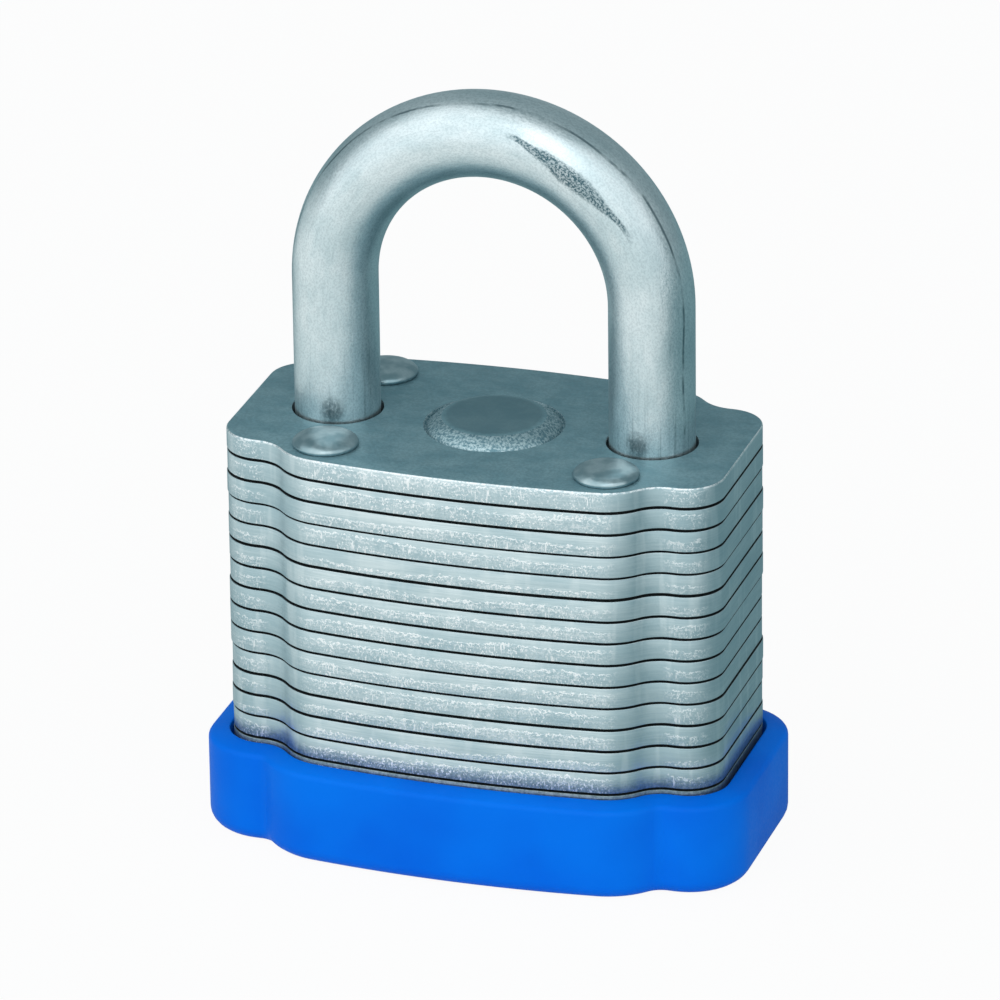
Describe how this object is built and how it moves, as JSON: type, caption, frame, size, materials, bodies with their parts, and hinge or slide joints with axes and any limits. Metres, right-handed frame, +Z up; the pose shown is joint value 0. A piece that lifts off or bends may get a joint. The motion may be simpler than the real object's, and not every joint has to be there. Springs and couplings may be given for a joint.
{
  "type": "laminated padlock",
  "caption": "Laminated steel padlock with a round-bar shackle, wavy riveted plates and a blue moulded bumper base.",
  "frame": {"origin": "middle of the underside of the bumper base", "axes": "+Z up along the shackle's lift, +X from the heel leg to the toe leg, -Y the front"},
  "size_m": [0.046, 0.0274, 0.0637],
  "materials": {
    "lamination_steel": "sheared, oiled",
    "top_plate_steel": "matte",
    "rivet_steel": "satin",
    "shackle_steel": "satin plated",
    "bumper_plastic": "moulded, fine texture",
    "cylinder_brass": "machined",
    "pin_brass": "turned",
    "bolt_steel": "sintered",
    "spring_steel": "drawn wire"
  },
  "bodies": {
    "body_pack": {"plate_01": "lamination_steel", "plate_02": "lamination_steel", "plate_03": "lamination_steel", "plate_04": "lamination_steel", "plate_05": "lamination_steel", "plate_06": "lamination_steel", "plate_07": "lamination_steel", "plate_08": "lamination_steel", "plate_09": "lamination_steel", "plate_10": "lamination_steel", "plate_11": "lamination_steel", "plate_12": "lamination_steel", "plate_13": "lamination_steel", "plate_14": "lamination_steel", "plate_15": "lamination_steel", "plate_16": "lamination_steel", "plate_17": "top_plate_steel", "rivet_front_left": "rivet_steel", "rivet_front_right": "rivet_steel", "rivet_back_left": "rivet_steel", "rivet_back_right": "rivet_steel", "base_bumper": "bumper_plastic", "heel_retainer": "lamination_steel", "ejector_spring": "spring_steel", "cylinder_housing": "cylinder_brass", "pin_chamber_cover": "cylinder_brass", "driver_spring_1": "spring_steel", "driver_spring_2": "spring_steel", "driver_spring_3": "spring_steel", "driver_spring_4": "spring_steel"},
    "shackle_arm": {"shackle": "shackle_steel"},
    "plug_set": {"cylinder_plug": "cylinder_brass", "plug_clip": "spring_steel", "bolt_cam": "bolt_steel"},
    "toe_bolt_set": {"toe_bolt": "bolt_steel", "toe_bolt_spring": "spring_steel"},
    "heel_bolt_set": {"heel_bolt": "bolt_steel", "heel_bolt_spring": "spring_steel"},
    "key_pin_1_body": {"key_pin_1": "pin_brass"},
    "key_pin_2_body": {"key_pin_2": "pin_brass"},
    "key_pin_3_body": {"key_pin_3": "pin_brass"},
    "key_pin_4_body": {"key_pin_4": "pin_brass"},
    "driver_pin_1_body": {"driver_pin_1": "pin_brass"},
    "driver_pin_2_body": {"driver_pin_2": "pin_brass"},
    "driver_pin_3_body": {"driver_pin_3": "pin_brass"},
    "driver_pin_4_body": {"driver_pin_4": "pin_brass"}
  },
  "joints": [
    {"name": "shackle_lift", "type": "slide", "parent": "body_pack", "child": "shackle_arm", "axis": [0, 0, 1], "range_m": [0, 0.01078], "deforming": ["ejector_spring"]},
    {"name": "plug_turn", "type": "hinge", "parent": "body_pack", "child": "plug_set", "pos_m": [0, 0, 0.0142], "axis": [0, 0, 1], "range_deg": [-90, 0]},
    {"name": "toe_bolt_slide", "type": "slide", "parent": "body_pack", "child": "toe_bolt_set", "axis": [1, 0, 0], "range_m": [0, 0.0019], "deforming": ["toe_bolt_spring"]},
    {"name": "heel_bolt_slide", "type": "slide", "parent": "body_pack", "child": "heel_bolt_set", "axis": [-1, 0, 0], "range_m": [0, 0.0019], "deforming": ["heel_bolt_spring"]},
    {"name": "key_pin_1_drop", "type": "slide", "parent": "plug_set", "child": "key_pin_1_body", "axis": [1, 0, 0], "range_m": [0, 0.0012]},
    {"name": "key_pin_2_drop", "type": "slide", "parent": "plug_set", "child": "key_pin_2_body", "axis": [1, 0, 0], "range_m": [0, 0.000601]},
    {"name": "key_pin_3_drop", "type": "slide", "parent": "plug_set", "child": "key_pin_3_body", "axis": [1, 0, 0], "range_m": [0, 0.0015]},
    {"name": "key_pin_4_drop", "type": "slide", "parent": "plug_set", "child": "key_pin_4_body", "axis": [1, 0, 0], "range_m": [0, 0.000901]},
    {"name": "driver_pin_1_push", "type": "slide", "parent": "body_pack", "child": "driver_pin_1_body", "axis": [0, 1, 0], "range_m": [0, 0.0011], "deforming": ["driver_spring_1"]},
    {"name": "driver_pin_2_push", "type": "slide", "parent": "body_pack", "child": "driver_pin_2_body", "axis": [0, 1, 0], "range_m": [0, 0.0011], "deforming": ["driver_spring_2"]},
    {"name": "driver_pin_3_push", "type": "slide", "parent": "body_pack", "child": "driver_pin_3_body", "axis": [0, 1, 0], "range_m": [0, 0.0011], "deforming": ["driver_spring_3"]},
    {"name": "driver_pin_4_push", "type": "slide", "parent": "body_pack", "child": "driver_pin_4_body", "axis": [0, 1, 0], "range_m": [0, 0.0011], "deforming": ["driver_spring_4"]}
  ],
  "couplings": [
    {"joint": "toe_bolt_slide", "follows": "plug_turn", "m_per_rad": -0.0012096},
    {"joint": "heel_bolt_slide", "follows": "plug_turn", "m_per_rad": -0.0012096},
    {"joint": "key_pin_2_drop", "follows": "key_pin_1_drop", "ratio": 0.5},
    {"joint": "key_pin_3_drop", "follows": "key_pin_1_drop", "ratio": 1.25},
    {"joint": "key_pin_4_drop", "follows": "key_pin_1_drop", "ratio": 0.75},
    {"joint": "driver_pin_2_push", "follows": "driver_pin_1_push", "ratio": 1},
    {"joint": "driver_pin_3_push", "follows": "driver_pin_1_push", "ratio": 1},
    {"joint": "driver_pin_4_push", "follows": "driver_pin_1_push", "ratio": 1}
  ]
}
